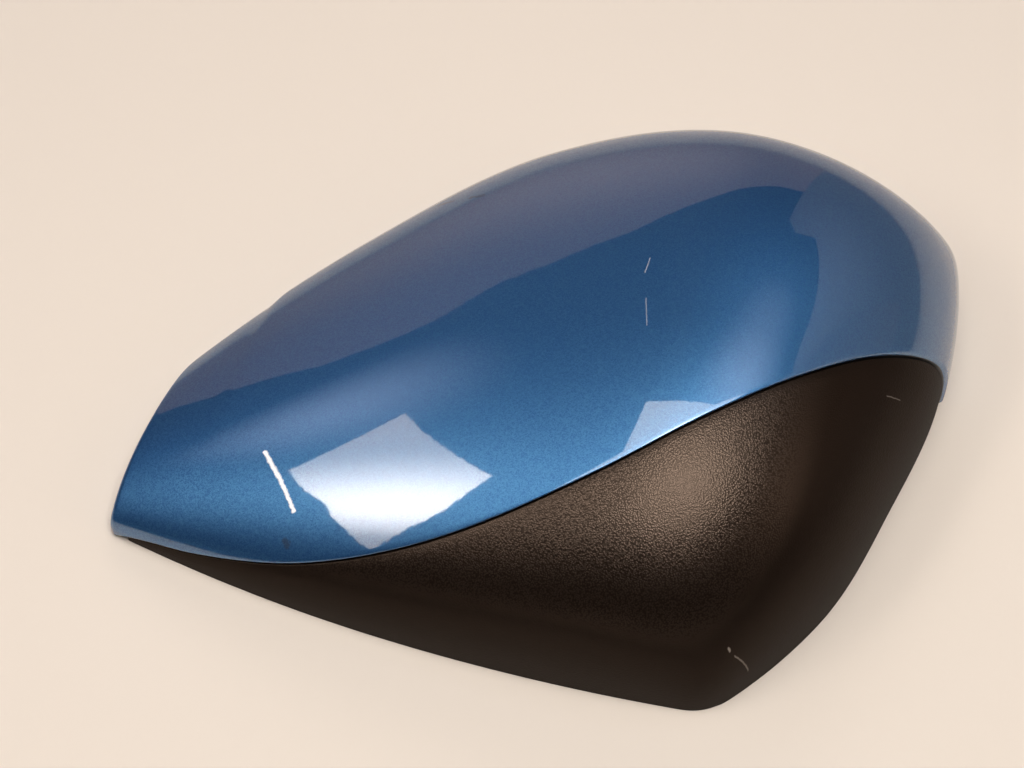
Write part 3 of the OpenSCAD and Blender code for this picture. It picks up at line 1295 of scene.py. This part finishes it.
@dataclass(frozen=True)
class SeamHooks:
    """Snap hooks along the seam that grip the flange from inside.

    Attributes:
        skin: The surface they hang from.
        places: Places along the loft.
        width: Width along the seam.
        thick: Thickness of arm and lip.
        reach: How far the lip reaches under the flange.
        clear: Clearance to the flange.
        beyond: How far past the seam the flange ends.
        root: Depth at which the arm starts.
        top: Depth of the lip's upper face.
    """

    skin: Skin
    places: tuple[float, ...] = (0.3, 0.44, 0.58, 0.72, 0.86)
    width: float = 9
    thick: float = 1.6
    reach: float = 2
    clear: float = 0.3
    beyond: float = 4.7
    root: float = 2.1
    top: float = 4.8

    def tree(self) -> bpy.types.NodeTree:
        """Build the tree that hangs one hook on each point.

        Returns:
            The tree.
        """
        tree, given = start_tree(
            "seam_hooks", {"Width": 0.009, "Thickness": 0.0016, "Lip": 0.0039, "Root": 0.0021, "Top": 0.0048}
        )
        drop = add_node(
            tree, "ShaderNodeMath", {0: given["Top"], 1: given["Root"]}, operation="SUBTRACT"
        ).outputs[0]
        middle = add_node(
            tree, "ShaderNodeMath", {0: given["Top"], 1: given["Root"]}, operation="ADD"
        ).outputs[0]
        middle = add_node(tree, "ShaderNodeMath", {0: middle, 1: 0.5}, operation="MULTIPLY").outputs[0]
        half = add_node(
            tree, "ShaderNodeMath", {0: given["Thickness"], 1: 0.5}, operation="MULTIPLY"
        ).outputs[0]
        low = add_node(tree, "ShaderNodeMath", {0: given["Top"], 1: half}, operation="ADD").outputs[0]
        back = add_node(
            tree, "ShaderNodeMath", {0: given["Lip"], 1: 0.5}, operation="MULTIPLY"
        ).outputs[0]
        back = add_node(
            tree, "ShaderNodeMath", {0: given["Thickness"], 1: back}, operation="SUBTRACT"
        ).outputs[0]
        parts = []
        for size_y, size_z, at_y, at_z in (
            (given["Thickness"], drop, half, middle),
            (given["Lip"], given["Thickness"], back, low),
        ):
            size = add_node(
                tree, "ShaderNodeCombineXYZ", {0: given["Width"], 1: size_y, 2: size_z}
            ).outputs[0]
            place = add_node(tree, "ShaderNodeCombineXYZ", {1: at_y, 2: at_z}).outputs[0]
            block = add_node(tree, "GeometryNodeMeshCube", {"Size": size}).outputs[0]
            parts.append(
                add_node(
                    tree, "GeometryNodeTransform", {"Geometry": block, "Translation": place}
                ).outputs[0],
            )
        hook = add_node(tree, "GeometryNodeJoinGeometry", {0: parts[0]})
        tree.links.new(parts[1], hook.inputs[0])
        inward = add_node(
            tree, "GeometryNodeInputNamedAttribute", {"Name": "inward"}, data_type="FLOAT_VECTOR"
        )
        along = add_node(
            tree, "GeometryNodeInputNamedAttribute", {"Name": "along"}, data_type="FLOAT_VECTOR"
        )
        turn = add_node(
            tree,
            "FunctionNodeAxesToRotation",
            {0: inward.outputs[0], 1: along.outputs[0]},
            primary_axis="Z",
            secondary_axis="X",
        ).outputs[0]
        hung = add_node(
            tree,
            "GeometryNodeInstanceOnPoints",
            {"Points": given["Geometry"], "Instance": hook.outputs[0], "Rotation": turn},
        ).outputs[0]
        end_tree(tree, hung, given["Material"])
        return tree

    def build(self, material: bpy.types.Material) -> bpy.types.Object:
        """Build the hooks.

        Args:
            material: Their finish.

        Returns:
            The piece.
        """
        u = np.array(self.places)
        v = self.skin.seam(u)
        arm = v + (self.beyond + self.clear) / self.skin.speed(u, v)
        here = self.skin.at(u, arm, 0)
        near, far = u - 0.01, u + 0.01
        ahead = self.skin.at(near, self.skin.seam(near), 0) - self.skin.at(far, self.skin.seam(far), 0)
        along = ahead / np.linalg.norm(ahead, axis=1, keepdims=True)
        across = self.skin.at(u, arm + 0.01, 0) - self.skin.at(u, arm - 0.01, 0)
        inward = np.cross(along, across)
        inward *= np.sign(((self.skin.at(u, arm, 1) - here) * inward).sum(1))[:, None]
        inward /= np.linalg.norm(inward, axis=1, keepdims=True)
        values = {
            "Width": self.width * METRES,
            "Thickness": self.thick * METRES,
            "Lip": (self.clear + self.reach + self.thick) * METRES,
            "Root": self.root * METRES,
            "Top": self.top * METRES,
            "Material": material,
        }
        facts = {"inward": inward, "along": along}
        return grow("seam_hooks", here * METRES, np.empty((0, 2), int), facts, self.tree(), values)


@dataclass(frozen=True)
class Card:
    """A glowing card that lights the cover and shows in its clear coat.

    Attributes:
        name: Object's name.
        corners: Its corners in order, in metres.
        strength: How brightly it glows.
        colour: Colour of its light.
        hot: Where a lamp behind it glows through, in metres.
        peak: How brightly it glows there.
        reach: How far from there the glow evens out, in metres.
    """

    name: str
    corners: tuple[tuple[float, float, float], ...]
    strength: float
    colour: str = "#FFFFFF"
    hot: tuple[float, float, float] | None = None
    peak: float = 0
    reach: float = 0.3

    def build(self) -> bpy.types.Object:
        """Build the card.

        Returns:
            The stage object.
        """
        material, tree, out = empty_material(self.name)
        strength: Any = self.strength
        if self.hot is not None:
            place = add_node(tree, "ShaderNodeTexCoord").outputs["Object"]
            far = add_node(
                tree, "ShaderNodeVectorMath", {0: place, 1: self.hot}, operation="DISTANCE"
            ).outputs["Value"]
            strength = add_node(
                tree,
                "ShaderNodeMapRange",
                {"Value": far, "From Max": self.reach, "To Min": self.peak, "To Max": self.strength},
                interpolation_type="SMOOTHSTEP",
            ).outputs[0]
        glow = add_node(tree, "ShaderNodeEmission", {"Color": linear(self.colour), "Strength": strength})
        tree.links.new(glow.outputs[0], out.inputs[0])
        card = add_object(self.name, np.array(self.corners), [tuple(range(len(self.corners)))], material)
        card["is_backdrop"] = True
        return card


@dataclass(frozen=True)
class Studio:
    """Pale sheet, pale wall behind it, soft lights and the camera.

    Attributes:
        sheet: Colour of the sheet.
        target: Point that the camera looks at, in metres.
        azimuth: Camera's direction from minus y towards plus x, in degrees.
        elevation: Its height above the sheet, in degrees.
        distance: Its distance in metres.
        lens: Focal length for a sensor 36 mm wide.
        turn: Roll about the line of sight, in degrees.
    """

    sheet: str = "#D8D0C6"
    target: tuple[float, float, float] = (-0.01063, 0.00729, 0.025)
    azimuth: float = -9.637
    elevation: float = 60.744
    distance: float = 0.61432
    lens: float = 79.28
    turn: float = -0.122

    def room(self) -> None:
        """Lay the sheet."""
        half = 3.0
        floor = add_object(
            "sheet",
            np.array([(-half, -half, 0), (half, -half, 0), (half, half, 0), (-half, half, 0)]),
            [(0, 1, 2, 3)],
            PlainSurface("pale_sheet", self.sheet).material(),
        )
        floor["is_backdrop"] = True

    def sky(self) -> None:
        """Fill the room with dim, even light."""
        world = bpy.data.worlds.new("room")
        world.use_nodes = True
        tree = world.node_tree
        tree.nodes.clear()
        glow = add_node(tree, "ShaderNodeBackground", {"Color": linear("#D5D8DE"), "Strength": 0.02})
        end = add_node(tree, "ShaderNodeOutputWorld")
        tree.links.new(glow.outputs[0], end.inputs[0])
        bpy.context.scene.world = world

    def lights(self) -> None:
        """Hang the soft lights."""
        Card(
            "window",
            (
                (-0.687, 0.262, 0.77),
                (-0.543, 0.506, 0.851),
                (-0.523, 0.108, 0.917),
                (-0.644, -0.115, 0.85),
                (-0.903, -0.528, 0.7),
                (-0.798, -0.263, 0.748),
                (-0.723, -0.027, 0.777),
            ),
            3.0,
            "#FFF4EC",
            hot=(-0.66, -0.05, 0.828),
            peak=12,
            reach=0.4,
        ).build()
        Card(
            "roof_light",
            ((-0.153, 0.375, 1.05), (-0.5, -0.3, 1.05), (0.15, -0.63, 1.05), (0.5, 0.05, 1.05)),
            3.2,
            "#FFF8F2",
            hot=(0.12, -0.27, 1.05),
            peak=19,
            reach=0.36,
        ).build()
        Card(
            "room_side",
            ((1.3, -1.2, 0.3), (1.3, 0.2, 0.3), (1.0, 0.2, 1.25), (1.0, -1.2, 1.25)),
            0.3,
            "#FFE8D8",
            hot=(1.15, -0.5, 0.76),
            peak=2.1,
            reach=0.5,
        ).build()
        Card(
            "ceiling_glow",
            ((-1.9, 1.5, 1.3), (-1.7, 0.2, 1.3), (0.0, 0.2, 1.3), (-0.1, 1.4, 1.3)),
            0,
            "#C8DCFF",
            hot=(-1.0, 1.0, 1.3),
            peak=1.8,
            reach=0.5,
        ).build()
        Card(
            "ceiling_glow_inboard",
            ((0.0, 0.2, 1.3), (0.1, 1.1, 1.3), (1.1, 1.0, 1.3), (1.0, 0.0, 1.3)),
            0,
            "#DCE6FF",
            hot=(0.5, 0.3, 1.3),
            peak=1.5,
            reach=0.45,
        ).build()
        Card(
            "wall_behind",
            (
                (-1.04, 1.36, 0.0),
                (1.05, 1.5, 0.0),
                (1.05, 1.5, 0.9),
                (0.796, 1.483, 0.917),
                (0.338, 1.453, 1.047),
                (0.062, 1.434, 1.154),
                (-0.194, 1.417, 1.26),
                (-0.447, 1.4, 1.26),
                (-0.662, 1.386, 1.207),
                (-0.851, 1.373, 1.12),
                (-0.94, 1.368, 1.065),
                (-1.03, 1.362, 0.85),
            ),
            0.42,
            "#FFD6C2",
            hot=(-0.1, 1.42, 0.5),
            peak=0.85,
            reach=0.9,
        ).build()
        Card(
            "wall_inboard",
            ((1.05, 1.5, 0.0), (1.85, -0.8, 0.0), (1.85, -0.8, 2.8), (1.05, 1.5, 1.6)),
            0.24,
            "#FFF3E8",
            hot=(1.4, 0.6, 1.5),
            peak=0.42,
            reach=1.3,
        ).build()

    def back_light(self) -> None:
        """Hang a lamp behind the cover, so that its shadow falls towards the camera."""
        data = bpy.data.lights.new("back_light", "AREA")
        data.shape, data.size, data.energy = "DISK", 0.7, 4
        data.color = linear("#FFF8F0")[:3]
        lamp = bpy.data.objects.new("back_light", data)
        place = Vector((0.25, 1.3, 1.0))
        lamp.matrix_world = Matrix.Translation(place) @ place.to_track_quat("Z", "Y").to_matrix().to_4x4()
        # Wall and ceiling already show in the paint, so this lamp doesn't
        lamp.visible_glossy = False
        bpy.context.collection.objects.link(lamp)

    def camera(self) -> None:
        """Set up the camera."""
        data = bpy.data.cameras.new("camera")
        data.lens, data.sensor_width = self.lens, 36
        data.clip_start, data.clip_end = 0.01, 20
        az, el = math.radians(self.azimuth), math.radians(self.elevation)
        back = Vector((math.sin(az) * math.cos(el), -math.cos(az) * math.cos(el), math.sin(el)))
        right = Vector((math.cos(az), math.sin(az), 0))
        up = back.cross(right)
        roll = Matrix.Rotation(math.radians(self.turn), 3, back)
        axes = Matrix((roll @ right, roll @ up, back)).transposed().to_4x4()
        camera = bpy.data.objects.new("camera", data)
        camera.matrix_world = Matrix.Translation(Vector(self.target) + back * self.distance) @ axes
        bpy.context.scene.collection.objects.link(camera)
        bpy.context.scene.camera = camera
        camera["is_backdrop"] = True

    def build(self) -> None:
        """Set up the whole studio."""
        self.room()
        self.sky()
        self.lights()
        self.back_light()
        self.camera()
        bpy.context.scene.view_settings.view_transform = "Standard"


def as_lists(value: Any) -> Any:
    """Turn vectors and arrays into plain lists.


    Returns:
        The same in lists, dictionaries and numbers.
    """
    if isinstance(value, dict):
        return {str(k): as_lists(v) for k, v in value.items()}
    if isinstance(value, (str, int, float)) or value is None:
        return value
    return [as_lists(v) for v in value]


def main() -> None:
    """Build the cover and its studio."""
    logging.basicConfig(level=logging.INFO)
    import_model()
    before = as_lists(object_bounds())
    skin = Skin()
    paint, grain, raw = MetallicPaint().material(), GrainedPlastic().material(), RawPlastic().material()
    painted = [
        PaintedShell(skin).build(paint, raw),
        ScrewPost(skin, "narrow_post", (-69.521, 31.065)).build(raw),
        ScrewPost(skin, "broad_post", (96.479, 31.065)).build(raw),
        LocatingPeg(skin, (4.479, 67.065)).build(raw),
        Ribs(
            skin, "painted_ribs", ((0.3, 0.251, 0.9), (0.5, 0.317, 0.9), (0.68, 0.393, 0.9)), 2.5
        ).build(raw),
        SeamHooks(skin).build(raw),
    ]
    lower = [
        LowerShell(skin).build(grain, raw),
        ScrewPost(skin, "lower_post", (17.479, -61.935), foot=2.05).build(raw),
        Ribs(skin, "lower_ribs", ((0.55, 0.029, 0.195), (0.72, 0.04, 0.268)), 3.3).build(raw),
    ]
    for node, pieces in (("painted_cover", painted), ("lower_cover", lower)):
        for piece in pieces:
            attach(piece, "root")
            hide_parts(node)
            LOG.info(piece.name)
    Studio().build()
    LOG.info("studio")
    {"before": before, "after": as_lists(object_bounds())}


if __name__ == "__main__":
    main()
